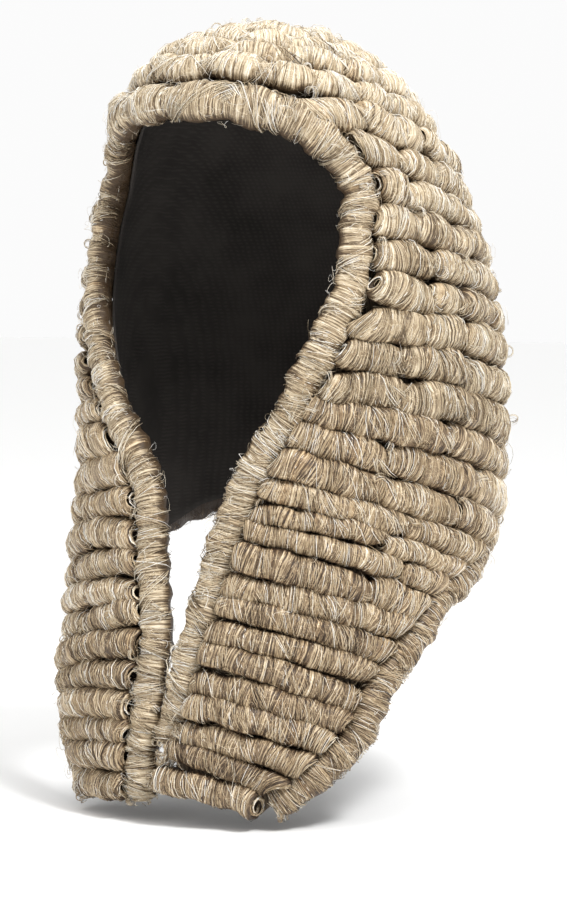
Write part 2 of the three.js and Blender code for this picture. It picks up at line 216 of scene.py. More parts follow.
def start_material(name):
    """A new node material's tree, its shader and a function that adds nodes."""
    material = bpy.data.materials.new(name)
    material.use_nodes = True
    tree = material.node_tree
    shader = tree.nodes["Principled BSDF"]

    def node(kind, inputs=None, **settings):
        made = tree.nodes.new(kind)
        for key, value in settings.items():
            setattr(made, key, value)
        for key, value in (inputs or {}).items():
            if isinstance(value, bpy.types.NodeSocket):
                tree.links.new(value, made.inputs[key])
            else:
                made.inputs[key].default_value = value
        return made

    return material, tree, shader, node


def cap_cloth_material():
    """Plain-woven cotton: two crossed wave patterns make the threads, slow noise
    the faded places, and both give the relief."""
    material, tree, shader, node = start_material("cap_cloth")
    place = node("ShaderNodeTexCoord").outputs["Object"]
    threads = [
        node(
            "ShaderNodeTexWave", {"Vector": place, "Scale": 150.0, "Distortion": 4.0, "Detail": 3.0},
            bands_direction=direction,
        ).outputs["Fac"]
        for direction in ("Z", "X")
    ]
    weave = node("ShaderNodeMath", {0: threads[0], 1: threads[1]}, operation="MULTIPLY").outputs[0]
    fade = node("ShaderNodeTexNoise", {"Vector": place, "Scale": 38.0, "Detail": 5.0}).outputs["Fac"]
    mixed = node("ShaderNodeMath", {0: weave, 1: 0.25, 2: fade}, operation="MULTIPLY_ADD").outputs[0]
    ramp = node("ShaderNodeValToRGB", {"Fac": mixed})
    ramp.color_ramp.elements[0].color = CLOTH_DARK
    ramp.color_ramp.elements[1].color = CLOTH_FADED
    ramp.color_ramp.elements[1].position = 0.75
    tree.links.new(ramp.outputs["Color"], shader.inputs["Base Color"])
    bump = node("ShaderNodeBump", {"Height": weave, "Strength": 0.25, "Distance": 0.0003})
    tree.links.new(bump.outputs["Normal"], shader.inputs["Normal"])
    shader.inputs["Roughness"].default_value = 0.93
    shader.inputs["Specular IOR Level"].default_value = 0.2
    return material


def cap_sheet():
    """The cap as a grid: down it the runs, across it from each inner edge to the
    hem, on both sides. Corners that the two sides share are made one."""
    places, faces = [], []
    for column, sign in ((LEFT, 1), (RIGHT, -1)):
        front = straight_column(FACE_EDGE, column, CAP_LEVELS)[:, None]
        hem = straight_column(HEM_EDGE, 1, CAP_LEVELS)[:, None]
        angle = sign * (front + (hem - front) * np.linspace(0, 1, CAP_ACROSS + 1))
        run = np.broadcast_to(CAP_LEVELS[:, None], angle.shape)
        index = np.arange(angle.size).reshape(angle.shape) + len(places) * angle.size
        face = np.stack([index[:-1, :-1], index[:-1, 1:], index[1:, 1:], index[1:, :-1]], -1)
        faces.append(face.reshape(-1, 4)[:, ::-sign])
        angle = np.where(angle <= -179.999, angle + 360, angle)
        places.append(np.stack([angle, run], -1).reshape(-1, 2))
    places = np.round(np.concatenate(places), 5)
    kept, renumber = np.unique(places, axis=0, return_inverse=True)
    renumber = renumber.reshape(-1)
    quads = renumber[np.concatenate(faces)]
    crown = len(kept)
    sides = np.concatenate([
        np.stack([quads[:, i], quads[:, (i + 1) % 4]], -1) for i in range(4)
    ])
    top = sides[np.all(np.abs(kept[sides, 1] - CAP_LEVELS[0]) < 1e-6, axis=1)]
    tris = np.stack([top[:, 1], top[:, 0], np.full(len(top), crown)], -1)
    points = np.concatenate([above_cap(kept[:, 0], kept[:, 1], 0.0), [[0, 0, CAP_WALL]]])
    return points, quads, tris


def cap_root_material():
    """The cap's outside, covered with the brown roots of the sewn hair: noise
    stretched up and down makes the roots."""
    material, tree, shader, node = start_material("cap_roots")
    place = node("ShaderNodeTexCoord").outputs["Object"]
    place = node("ShaderNodeVectorMath", {0: place, 1: ROOT_STRETCH}, operation="MULTIPLY").outputs[0]
    roots = node("ShaderNodeTexNoise", {"Vector": place, "Scale": 1100.0, "Detail": 3.0}).outputs["Fac"]
    ramp = node("ShaderNodeValToRGB", {"Fac": roots})
    ramp.color_ramp.elements[0].position, ramp.color_ramp.elements[1].position = 0.35, 0.75
    ramp.color_ramp.elements[0].color = ROOT_DARK
    ramp.color_ramp.elements[1].color = ROOT_LIGHT
    tree.links.new(ramp.outputs["Color"], shader.inputs["Base Color"])
    bump = node("ShaderNodeBump", {"Height": roots, "Strength": 0.8, "Distance": 0.0008})
    tree.links.new(bump.outputs["Normal"], shader.inputs["Normal"])
    shader.inputs["Roughness"].default_value = 0.7
    return material


cap_mesh = fill_mesh("cap_foundation_cloth", *cap_sheet())
cap = add_piece("cap_foundation_cloth", cap_mesh, cap_root_material(), "cap_cloth", "cap_foundation")
cap_mesh.materials.append(cap_cloth_material())
wall = cap.modifiers.new("wall", "SOLIDIFY")
wall.thickness, wall.offset = CLOTH_THICKNESS, -1.0
wall.material_offset, wall.material_offset_rim = 1, 1

# Face roll: horsehair wound round a soft core, sewn along the edge of the face
# opening and down both lappets. It is thickest over the forehead.
CLEARANCE = 0.00035
ROUND_SIDES = 8
FRONT_ROLL_RADIUS, FACE_ROLL_RADIUS = 0.010, 0.0084
FRONT_ROLL_RUNS = (0.204, 0.26)
FACE_ROLL_END_LEFT, FACE_ROLL_END_RIGHT = 0.91, 0.978
SHELL_STEP = 0.0032
SHELL_TURNS = np.radians(np.concatenate([np.linspace(-25, 205, 9), [270]]))
WIDE_GAIN, HIGH_LOSS = 0.0007, 0.0003
TAPER_LENGTH = 0.013        # the stretch at each end of a curl that narrows
PAST_END = 0.004            # how far a hair may pass the end of its path
WAY_ROUND = 0.0085          # metres round a curl for each radian
LOOP_SPACING, ROLL_SPACING = 0.00071, 0.00066
# Painted shade: each hair is darker towards both ends, where it tucks in under the curl or into an open
# end.
LOOP_TUCK_SHADE, END_TUCK_SHADE = 0.86, 0.2     # how much darker a hair's two ends are
LOOP_RADII, END_RADII = (0.00011, 0.00023), (0.0002, 0.0004)
LOOSE_RADII, TUFT_RADII = (0.00006, 0.00011), (0.00008, 0.00015)
TUCK_DEPTH, STRAIGHT_END = 0.0010, 0.014
ROLL_LOOSE_REACH, LONG_LOBE = 0.0055, 0.034


def smooth_line(rows, steps):
    """A line through rows of angle and run by cubic pieces, each leaving a row
    with half the difference of its two neighbours."""
    padded = np.concatenate([rows[:1], rows, rows[-1:]])
    before, start, end, after = padded[:-3], padded[1:-2], padded[2:-1], padded[3:]
    t = (np.arange(steps) / steps)[None, :, None]
    before, start, end, after = (r[:, None, :] for r in (before, start, end, after))
    curve = 2 * before - 5 * start + 4 * end - after
    twist = 3 * start - 3 * end + after - before
    line = start + 0.5 * t * (end - before + t * (curve + t * twist))
    return np.concatenate([line.reshape(-1, 2), rows[-1:]])


def edge_line(table, left_column, right_column, left_end, right_end, over_top):
    """Both sides of an edge as one line of angles and runs, from the foot on the
    wearer's left to the foot on the right, with each side cut where it ends."""
    halves = []
    for column, sign, end in ((left_column, 1, left_end), (right_column, -1, right_end)):
        rows = table[table[:, 0] < end]
        angles = np.append(rows[:, column], straight_column(table, column, end))
        halves.append(np.stack([sign * angles, np.append(rows[:, 0], end)], -1))
    left, right = halves[0][::-1], halves[1][1:]
    if not over_top:
        right = right + [360, 0]
    return np.concatenate([left, right])


def measured_path(centre, up, half_width, half_height):
    """Frames along a centre line: along it, outward from the cap, and across, with
    the distance run so far."""
    along = unit(np.gradient(centre, axis=0))
    up = unit(up - along * (up * along).sum(-1, keepdims=True))
    across = np.cross(up, along)
    steps = np.linalg.norm(np.diff(centre, axis=0), axis=1)
    return {
        "far": np.concatenate([[0], np.cumsum(steps)]), "centre": centre, "up": up,
        "across": across, "along": along,
        "half_width": np.broadcast_to(half_width, len(centre)),
        "half_height": np.broadcast_to(half_height, len(centre)),
        "floor": np.broadcast_to(half_height, len(centre)) + CLEARANCE / 2,
        "shear": np.zeros(len(centre)),
    }


def frames_at(path, far, turn=None):
    """The frames of a path at any distances along it, by straight interpolation
    and, past its ends, straight on. Where a turn round the path is given, the
    distance is first moved by the path's shear, so that an end can be cut askew."""
    result = {}
    if turn is not None:
        limited = np.clip(far, path["far"][0], path["far"][-1])
        shear = np.interp(limited, path["far"], path["shear"])
        far = far + shear * np.interp(limited, path["far"], path["half_width"]) * np.cos(turn)
    limited = np.clip(far, path["far"][0], path["far"][-1])
    far = np.clip(far, limited - PAST_END, limited + PAST_END)
    for key in ("centre", "up", "across", "along"):
        result[key] = np.stack([np.interp(limited, path["far"], path[key][:, i]) for i in range(3)], -1)
    result["centre"] = result["centre"] + result["along"] * (far - limited)[..., None]
    for key in ("half_width", "half_height", "floor"):
        result[key] = np.interp(limited, path["far"], path[key])
    return result


def outward_at(frames, turn):
    """The direction away from a path's centre at a turn from across toward up."""
    return frames["across"] * np.cos(turn)[..., None] + frames["up"] * np.sin(turn)[..., None]


def round_centre(frames, turn, wide, high, floor=np.inf):
    """Points round a path's centre at a turn from across toward up: the width times
    the cosine goes across, and the height times the sine goes up, or down as far as
    the floor, which is the cap."""
    points = frames["centre"] + frames["across"] * (wide * np.cos(turn))[..., None]
    return points + frames["up"] * np.maximum(high * np.sin(turn), -floor)[..., None]


def roll_path(line, radius_at):
    """The centre line of a border roll that lies on the cap along an edge line."""
    radius = radius_at(line[:, 1])
    lift = radius * math.cos(math.pi / ROUND_SIDES) + CLEARANCE
    centre = above_cap(line[:, 0], line[:, 1], lift)
    up = centre - cap_point(line[:, 0], line[:, 1])
    return measured_path(centre, up, radius, radius)


def face_roll_radius(run):
    """Thicker over the forehead, thinning by a smooth step down the temples."""
    start, end = FRONT_ROLL_RUNS
    t = np.clip((run - start) / (end - start), 0, 1)
    t = t * t * (3 - 2 * t)
    return FRONT_ROLL_RADIUS + (FACE_ROLL_RADIUS - FRONT_ROLL_RADIUS) * t


def fullness(far, begin, end, taper, lobes):
    """How far a curl swells at a distance along it: less over its last
    stretches, by the square of the way into them, and more or less at each lobe by
    a bell curve."""
    gone = np.clip(np.minimum(far - begin, end - far), 0, TAPER_LENGTH) / TAPER_LENGTH
    swell = 1 - taper * (1 - gone) ** 2
    for middle, reach, gain in lobes:
        swell = swell + gain * np.exp(-((far - middle) / reach) ** 2)
    return swell


def shell_part(path, begin, end, draw, tone, hollow=0.4, lobes=(), fat=1.0, taper=0.10):
    """A rolled curl as a closed skin. Down its profile the radius goes from the
    closed bottom of the hollow, out over the rounded lip, along the outside with a
    small random step at each ring, and back in at the other end. Round it, the
    radius follows the frames' half width and half height, and stops at the floor,
    which is the cap."""
    length = end - begin
    depth = min(0.011, 0.35 * length)
    # The lip's third column is painted shade, darker down into the hollow of the open end.
    lip = np.array([
        [depth, 0.03, -0.55], [depth * 0.9, hollow * 0.75, -0.45], [depth * 0.45, hollow, -0.25],
        [0.0014, hollow + 0.07, -0.12], [-0.0003, hollow + 0.22, 0.0], [-0.0002, 0.82, 0.0],
        [0.0014, 0.95, 0.0],
    ])
    count = max(3, int(round((length - 0.006) / SHELL_STEP)))
    middle = np.stack([np.linspace(0.0032, length - 0.0032, count), np.ones(count), np.zeros(count)], -1)
    back = lip[::-1] * [-1, 1, 1] + [length, 0, 0]
    profile = np.concatenate([lip, middle, back])
    swell = fullness(begin + profile[:, 0], begin, end, taper, lobes)
    swell = swell + 0.018 * np.sin(profile[:, 0] / 0.0036 + draw.uniform(0, 6.3))
    swell = swell + draw.normal(0, 0.016, len(profile)) * (profile[:, 1] > 0.9)
    turn = np.broadcast_to(SHELL_TURNS[None, :], (len(profile), len(SHELL_TURNS)))
    frames = frames_at(path, np.broadcast_to(begin + profile[:, :1], turn.shape), turn)
    uneven = 1 + 0.02 * np.sin(3 * turn + profile[:, :1] / 0.006 + draw.uniform(0, 6.3))
    reach = (profile[:, 1] * swell * fat)[:, None] * uneven
    wide = (frames["half_width"] + WIDE_GAIN) * reach
    high = (frames["half_height"] - HIGH_LOSS) * reach
    points = round_centre(frames, turn, wide, high, frames["floor"])
    rings, sides = points.shape[:2]
    index = np.arange(rings * sides).reshape(rings, sides)
    beside = np.roll(index, -1, axis=1)
    quads = np.stack([index[:-1], beside[:-1], beside[1:], index[1:]], -1).reshape(-1, 4)
    first, last = rings * sides, rings * sides + 1
    tris = np.concatenate([
        np.stack([beside[0], index[0], np.full(sides, first)], -1),
        np.stack([index[-1], beside[-1], np.full(sides, last)], -1),
    ])
    points = np.concatenate([points.reshape(-1, 3), points[0].mean(0)[None], points[-1].mean(0)[None]])
    # Painted shade: the skin, which shows between the hairs, is darker than them all over, darker still
    # on its sides and underside, and darker into the hollows by the profile's third column.
    shade = profile[:, 2:] - 0.24 + 0.85 * np.minimum(np.sin(turn) - 0.55, 0)
    far = np.broadcast_to(profile[:, :1] + draw.uniform(0, 9), (rings, sides))
    around = np.abs(np.pi - np.mod(turn - np.pi / 2 + np.pi, 2 * np.pi)) * WAY_ROUND
    lay = np.stack([far, around, tone + shade], -1).reshape(-1, 3)
    lay = np.concatenate([lay, lay[:1], lay[-1:]])
    return points, quads, tris, lay


def strand_part(points, outward, thick, far, tone, root=0.0):
    """Hairs as three-sided tubes that close to a point at both ends. Each has a
    line of points; its section lies along the outward direction, squared to the
    line, and across both."""
    count, rings = points.shape[:2]
    along = unit(np.gradient(points, axis=1))
    outward = unit(outward - along * (outward * along).sum(-1, keepdims=True))
    across = np.cross(along, outward)
    turn = np.radians([90, 210, 330])
    span = thick[:, 1:-1, None, None]
    body = points[:, 1:-1, None, :] + span * (
        outward[:, 1:-1, None, :] * np.sin(turn)[:, None]
        + across[:, 1:-1, None, :] * np.cos(turn)[:, None]
    )
    inner = rings - 2
    each = inner * 3 + 2
    verts = np.concatenate([body.reshape(count, -1, 3), points[:, :1], points[:, -1:]], 1)
    index = np.arange(inner * 3).reshape(inner, 3)
    beside = np.roll(index, -1, axis=1)
    quads = np.stack([index[:-1], index[1:], beside[1:], beside[:-1]], -1).reshape(-1, 4)
    tris = np.concatenate([
        np.stack([index[0], beside[0], np.full(3, inner * 3)], -1),
        np.stack([beside[-1], index[-1], np.full(3, inner * 3 + 1)], -1),
    ])
    shift = (np.arange(count) * each)[:, None, None]
    quads, tris = (quads[None] + shift).reshape(-1, 4), (tris[None] + shift).reshape(-1, 3)
    level = np.repeat(np.linspace(0, 1, rings)[1:-1], 3)
    level = np.concatenate([level, [0, 1]])
    # The tone is lowered towards both ends of the hair by the root amount: painted shade where the hair
    # tucks in.
    lay = np.stack([
        np.broadcast_to(far[:, None], (count, each)),
        np.broadcast_to(level[None] * 0.02, (count, each)),
        tone[:, None] - root * np.abs(2 * level[None] - 1) ** 2.2,
    ], -1)
    return verts.reshape(-1, 3), quads, tris, lay.reshape(-1, 3)


def wound_part(path, begin, end, draw, tone, spacing=LOOP_SPACING, start=-22, finish=202,
               rings=7, lean=0.0, fan=0.0, fat=1.0, taper=0.10, lobes=()):
    """Loops of hair over a curl: each goes round from one side to the other, tucked
    in at both ends. They lie in bundles that share a slant, a height and a tone. The
    slant is the lean plus the fan, which goes from minus to plus along the curl."""
    count = max(4, int((end - begin) / spacing))
    place = begin + (end - begin) * (np.arange(count) + draw.uniform(0, 1, count)) / count
    bundle = ((place - begin) / draw.uniform(0.0045, 0.008)).astype(int)
    bundles = bundle.max() + 1
    t = np.linspace(0, 1, rings)[None, :]
    first = np.radians(start + draw.normal(0, 12, count))[:, None]
    final = np.radians(finish + draw.normal(0, 12, count))[:, None]
    turn = first + (final - first) * t
    slant = lean + draw.normal(0, 7, bundles)[bundle] + draw.normal(0, 3.5, count)
    astray = draw.uniform(0, 1, count) < 0.06
    slant = slant + astray * draw.normal(0, 16, count)
    slant = slant + fan * (2 * (place - begin) / (end - begin) - 1)
    to_end = np.minimum(place - path["far"][0], path["far"][-1] - place)
    slant = slant * np.clip(to_end / STRAIGHT_END, 0, 1)
    slant = np.tan(np.radians(np.clip(slant, -50, 50)))
    turned = (turn - np.pi / 2) * WAY_ROUND
    far = place[:, None] + slant[:, None] * turned
    frames = frames_at(path, far, turn)
    height = np.abs(draw.normal(0, 0.00028, count)) + draw.normal(0, 0.00028, bundles)[bundle]
    height = height + astray * draw.uniform(0.0002, 0.0009, count)
    tuck = np.clip(np.sin(np.pi * t) * 1.7, 0, 1)
    lift = height[:, None] * tuck - TUCK_DEPTH * (1 - tuck) + draw.normal(0, 0.00008, (count, rings))
    swell = fat * fullness(place, begin, end, taper, lobes)[:, None]
    wide = (frames["half_width"] + WIDE_GAIN) * swell + lift
    high = (frames["half_height"] - HIGH_LOSS) * swell + lift
    points = round_centre(frames, turn, wide, high, frames["floor"])
    points = points + frames["along"] * draw.normal(0, 0.00012, (count, rings))[..., None]
    thick = draw.uniform(*LOOP_RADII, count)[:, None] * (1 - 0.5 * np.abs(2 * t - 1) ** 4)
    shade = tone + draw.normal(0.10, 0.24, count) + draw.normal(0, 0.06, bundles)[bundle]
    start = draw.uniform(0, 9, count)
    # Painted shade at both tucked ends of each loop.
    return strand_part(points, outward_at(frames, turn), thick, start, shade, root=LOOP_TUCK_SHADE)


def end_part(path, place, inward, draw, tone, count=3, fat=1.0, taper=0.10):
    """Hairs that wind inward over a curl's open end: the radius falls steadily over
    a turn and a fifth, out over the lip and into the hollow."""
    rings = 11
    t = np.linspace(0, 1, rings)[None, :]
    turn = draw.uniform(0, 2 * np.pi, count)[:, None] + np.radians(430) * t * draw.choice([-1, 1])
    shrink = (1.0 - 0.56 * t) * fat * (1 - taper) + draw.normal(0, 0.02, count)[:, None]
    far = place + inward * (0.0030 * (2 * t - 1) ** 2 - 0.0008) + draw.normal(0, 0.0002, (count, rings))
    frames = frames_at(path, far, turn)
    points = round_centre(frames, turn, frames["half_width"] * shrink, frames["half_height"] * shrink)
    thick = draw.uniform(*END_RADII, count)[:, None] * np.ones((1, rings))
    start = draw.uniform(0, 9, count)
    shade = tone + draw.normal(0.05, 0.15, count)
    # Painted shade, less deep than on the loops, at both ends of each hair.
    return strand_part(points, outward_at(frames, turn), thick, start, shade, root=END_TUCK_SHADE)


def loose_part(path, draw, tone, count, reach, toward=90.0, spread=75.0, rings=8):
    """Single hairs that stand off a curl in a bow: they leave its skin, rise by a
    sine over their length while they drift along and round it, and come back or,
    for some, end in the air."""
    begin, end = path["far"][0], path["far"][-1]
    t = np.linspace(0, 1, rings)[None, :]
    place = draw.uniform(begin, end, count)[:, None]
    phase = draw.uniform(0, 2 * np.pi, count)[:, None]
    turn = (toward + draw.normal(0, spread, count))[:, None]
    turn = turn + draw.normal(0, 55, count)[:, None] * (t - 0.5)
    turn = turn + draw.normal(0, 16, count)[:, None] * np.cos(2.6 * np.pi * t + phase)
    turn = np.radians(np.clip(turn, -20, 200))
    free = (draw.uniform(0, 1, count) < 0.3)[:, None]
    rise = draw.uniform(0.25, 1.0, count)[:, None] ** 1.6 * reach
    lift = rise * np.where(free, t**1.5, np.sin(np.pi * t)) - 0.0006
    far = place + draw.normal(0, 0.0045, count)[:, None] * (t - 0.5)
    far = far + draw.normal(0, 0.0022, count)[:, None] * np.sin(2.6 * np.pi * t + phase)
    frames = frames_at(path, np.clip(far, begin, end), turn)
    points = round_centre(frames, turn, frames["half_width"] + lift, frames["half_height"] + lift)
    points = points + frames["along"] * (far - np.clip(far, begin, end))[..., None]
    thick = draw.uniform(*LOOSE_RADII, count)[:, None] * np.ones((1, rings))
    start = draw.uniform(0, 9, count)
    return strand_part(points, frames["along"], thick, start, tone + draw.normal(0.22, 0.12, count))


def tuft_part(path, places, turns, sizes, draw, tone):
    """Small open curls that stand off a roll's skin. The hairs of one share a
    circle that starts at the skin and rises outward in a random upright plane;
    each has its own radius, sweep and drift to the side of that plane."""
    tufts, hairs, rings = len(places), 7, 9
    t = np.linspace(0, 1, rings)[None, :]
    place, turn, size = (
        np.repeat(np.asarray(values, float), hairs) for values in (places, turns, sizes)
    )
    heading = np.repeat(draw.uniform(0, 2 * np.pi, tufts), hairs)[:, None]
    turn = np.radians(turn)
    frames = frames_at(path, place)
    outward = outward_at(frames, turn)
    sideways = frames["up"] * np.cos(turn)[:, None] - frames["across"] * np.sin(turn)[:, None]
    radial = (frames["half_width"] - 0.0012)[:, None]
    base = frames["centre"] + outward * radial
    forward = frames["along"] * np.cos(heading) + sideways * np.sin(heading)
    drift = np.cross(outward, forward)
    radius = (size * draw.uniform(0.85, 1.1, len(place)))[:, None] * (1 - 0.25 * t)
    angle = np.radians(-60 + draw.normal(0, 10, len(place)))[:, None]
    angle = angle + np.radians(draw.uniform(230, 330, len(place)))[:, None] * t
    rise = size[:, None] * 0.15 + radius * np.sin(angle)
    ahead = radius * np.cos(angle)
    beside = draw.normal(0, 0.0010, len(place))[:, None]
    beside = beside + draw.normal(0, 0.0008, len(place))[:, None] * t
    points = base[:, None] + outward[:, None] * rise[..., None] + forward[:, None] * ahead[..., None]
    points = points + drift[:, None] * beside[..., None]
    thick = draw.uniform(*TUFT_RADII, len(place))[:, None] * np.ones((1, rings))
    shade = tone + draw.normal(0.06, 0.20, len(place))
    side = np.broadcast_to(drift[:, None], points.shape)
    return strand_part(points, side, thick, draw.uniform(0, 9, len(place)), shade)


def join_parts(parts):
    """One set of arrays from many, with the faces' numbers moved on."""
    starts = np.cumsum([0] + [len(p[0]) for p in parts[:-1]])
    return (
        np.concatenate([p[0] for p in parts]),
        np.concatenate([p[1] + s for p, s in zip(parts, starts)]),
        np.concatenate([p[2] + s for p, s in zip(parts, starts)]),
        np.concatenate([p[3] for p in parts]),
    )


def hair_piece(name, parts, material, slot, *nodes):
    """A piece of hair from its parts. The lay attribute holds the distance along
    the curl, the distance round it and the tone, painted shade included, for the material."""
    points, quads, tris, lay = join_parts(parts)
    mesh = fill_mesh(name, points, quads, tris)
    attribute = mesh.attributes.new("lay", "FLOAT_VECTOR", "POINT")
    attribute.data.foreach_set("vector", np.ascontiguousarray(lay, np.float32).ravel())
    return add_piece(name, mesh, material, slot, *nodes)


def horsehair_material(name, stops):
    """Wound horsehair: noise that changes fast along the curl and slowly round it
    makes single hairs and, coarser, the clumps. The crests of two crooked wave
    patterns, kept to patches by noise, make pale hairs that cross the winding. With
    the tone of each hair, which carries painted shade, these pick a colour from dark
    brown to bleached ivory, slow noise warms some places, and hairs and clumps give
    the relief."""
    material, tree, shader, node = start_material(name)

    def noise(at, scale, detail, roughness=0.5):
        """Cloudy noise from 0 to 1."""
        made = {"Vector": at, "Scale": scale, "Detail": detail, "Roughness": roughness}
        return node("ShaderNodeTexNoise", made).outputs["Fac"]

    def add_scaled(value, gain, base):
        """The value times the gain, plus the base."""
        return node("ShaderNodeMath", {0: value, 1: gain, 2: base}, operation="MULTIPLY_ADD").outputs[0]

    def stretched(value, low, high, top=1.0):
        """The value's range from low to high, moved to 0 up to the top and cut there."""
        made = {"Value": value, "From Min": low, "From Max": high, "To Max": top}
        return node("ShaderNodeMapRange", made).outputs[0]

    lay = node("ShaderNodeAttribute", attribute_name="lay").outputs["Vector"]
    split = node("ShaderNodeSeparateXYZ", {0: lay})
    along = node("ShaderNodeVectorMath", {0: lay, 1: HAIR_STRETCH}, operation="MULTIPLY").outputs[0]
    fine, clump = noise(along, 1250.0, 3.0, 0.65), noise(along, 520.0, 2.0)
    tone = add_scaled(clump, 0.7, add_scaled(fine, 2.6, split.outputs["Z"]))
    tone = node("ShaderNodeMath", {0: tone, 1: TONE_SHIFT}, operation="SUBTRACT").outputs[0]
    place = node("ShaderNodeTexCoord").outputs["Object"]
    crests = []
    for scale, direction in STRAY_WAVES:
        wave = node(
            "ShaderNodeTexWave",
            {"Vector": place, "Scale": scale, "Distortion": 14.0, "Detail": 2.0},
            bands_direction=direction,
        )
        crests.append(stretched(wave.outputs["Fac"], 0.95, 1.0))
    stray = node("ShaderNodeMath", {0: crests[0], 1: crests[1]}, operation="MAXIMUM").outputs[0]
    where = stretched(noise(place, 110.0, 1.0), 0.40, 0.55, STRAY_GAIN)
    ramp = node("ShaderNodeValToRGB", {"Fac": add_scaled(stray, where, tone)})
    elements = ramp.color_ramp.elements
    while len(elements) < len(stops):
        elements.new(0.5)
    for element, (position, colour) in zip(elements, stops):
        element.position = position
        element.color = (*colour, 1)
    patch = stretched(noise(along, 150.0, 1.0), 0.55, 0.75, 0.55)
    tinted = node(
        "ShaderNodeMix", {"Factor": patch, "A": ramp.outputs["Color"], "B": WARM_TINT},
        data_type="RGBA", blend_type="MULTIPLY",
    )
    tree.links.new(tinted.outputs["Result"], shader.inputs["Base Color"])
    relief = add_scaled(stray, STRAY_RELIEF, add_scaled(clump, 1.6, fine))
    bump = node("ShaderNodeBump", {"Height": relief, "Strength": 0.9, "Distance": 0.0006})
    tree.links.new(bump.outputs["Normal"], shader.inputs["Normal"])
    shader.inputs["Roughness"].default_value = 0.40
    shader.inputs["Specular IOR Level"].default_value = 0.3
    return material


HAIR_STRETCH, TONE_SHIFT = (1.0, 0.045, 0.0), 1.685
STRAY_WAVES = ((95.0, "DIAGONAL"), (140.0, "Z"))
STRAY_GAIN, STRAY_RELIEF = 0.20, 0.25
WARM_TINT = (0.97, 0.80, 0.60, 1)
PALE_STOPS = (
    (0.0, (0.075, 0.048, 0.027)), (0.2, (0.24, 0.175, 0.104)), (0.42, (0.50, 0.395, 0.26)),
    (0.62, (0.71, 0.60, 0.43)), (0.85, (0.87, 0.80, 0.665)), (1.0, (0.94, 0.92, 0.87)),
)
WARM_STOPS = (
    (0.0, (0.050, 0.031, 0.019)), (0.2, (0.185, 0.125, 0.073)), (0.42, (0.43, 0.325, 0.20)),
    (0.62, (0.66, 0.53, 0.355)), (0.85, (0.86, 0.77, 0.61)), (1.0, (0.94, 0.91, 0.85)),
)
pale_hair = horsehair_material("horsehair_pale", PALE_STOPS)
warm_hair = horsehair_material("horsehair_warm", WARM_STOPS)


def wound_roll(path, draw, lobe_length, tone, lean, swell, loose=350, tufts=30):
    """A border roll as one skin with a swelling at each lobe and a valley where
    long lobes meet, and over each lobe loops of hair with a slant and a fan of
    their own, more for a long lobe. The lobes are as long as the lobe_length
    function says for their place. The path is sunk by most of the room that the
    swellings need, and shifted a little to either side at each lobe."""
    total = path["far"][-1]
    bounds, place = [], 0.0
    while place < total:
        length = lobe_length(place) * draw.uniform(0.8, 1.25)
        bounds.append((place + length / 2, min(length, total - place)))
        place += length
    lobes = [(middle, length * 0.28, swell * draw.uniform(0.6, 1.05)) for middle, length in bounds]
    for middle, length in bounds[:-1]:
        lobes.append((middle + length / 2, 0.0045, -0.5 * swell * np.clip(length / 0.017 - 1, 0, 1)))
    slim = 1 - swell * 0.42
    sink = path["half_height"] * (1 - slim) * 0.8
    zigzag = draw.normal(0, 0.0011, len(bounds))
    zigzag = np.interp(path["far"], [middle for middle, length in bounds], zigzag)
    floor = path["half_height"] * math.cos(math.pi / ROUND_SIDES) + CLEARANCE / 2 - sink
    path = dict(path, floor=floor)
    path["centre"] = path["centre"] - path["up"] * sink[:, None] + path["across"] * zigzag[:, None]
    parts = [shell_part(path, 0.0, total, draw, tone, lobes=lobes, fat=slim, taper=0.15)]
    for middle, length in bounds:
        long_lobe = min(length / LONG_LOBE, 1.0) ** 2
        leaning = lean * draw.uniform(0.3, 1.3) * draw.choice([-1, 1, 1]) * (0.7 + 1.0 * long_lobe)
        begin, end = max(middle - length * 0.56, 0.0005), min(middle + length * 0.56, total - 0.0005)
        near = [lobe for lobe in lobes if abs(lobe[0] - middle) < 0.09]
        parts.append(wound_part(
            path, begin, end, draw, tone + draw.normal(0, 0.04), spacing=ROLL_SPACING, start=-60,
            finish=240, rings=9, lean=leaning, fan=6 + 24 * long_lobe, fat=slim, lobes=near, taper=0.0,
        ))
    for place, inward in ((0.0, 1), (total, -1)):
        parts.append(end_part(path, place, inward, draw, tone, count=16, fat=slim, taper=0.15))
        parts.append(tuft_part(
            path, place - inward * draw.uniform(-0.001, 0.003, 6), draw.uniform(-10, 190, 6),
            draw.uniform(0.0016, 0.0024, 6), draw, tone - 0.15,
        ))
    parts.append(loose_part(path, draw, tone, int(total * loose), ROLL_LOOSE_REACH, rings=11))
    count = int(total * tufts)
    places = draw.uniform(0.004, total - 0.004, count)
    turns = draw.choice([10, 60, 120, 170], count) + draw.normal(0, 18, count)
    parts.append(tuft_part(path, places, turns, draw.uniform(0.0018, 0.0034, count), draw, tone))
    return parts


def face_lobe_length(far):
    """Long lobes over the forehead, in the middle of the roll, and short ones down
    the cheeks and lappets."""
    t = np.clip(abs(far - face_path["far"][-1] * 0.5) / 0.13, 0, 1)
    return 0.038 - 0.025 * t * t * (3 - 2 * t)


face_line = smooth_line(
    edge_line(FACE_EDGE, LEFT, RIGHT, FACE_ROLL_END_LEFT, FACE_ROLL_END_RIGHT, True), 12,
)
face_path = roll_path(face_line, face_roll_radius)
face_roll = wound_roll(
    face_path, np.random.default_rng(11), face_lobe_length, 0.57, 22, 0.34, loose=560, tufts=50,
)
hair_piece("face_roll_wound", face_roll, pale_hair, "horsehair_pale", "face_roll")

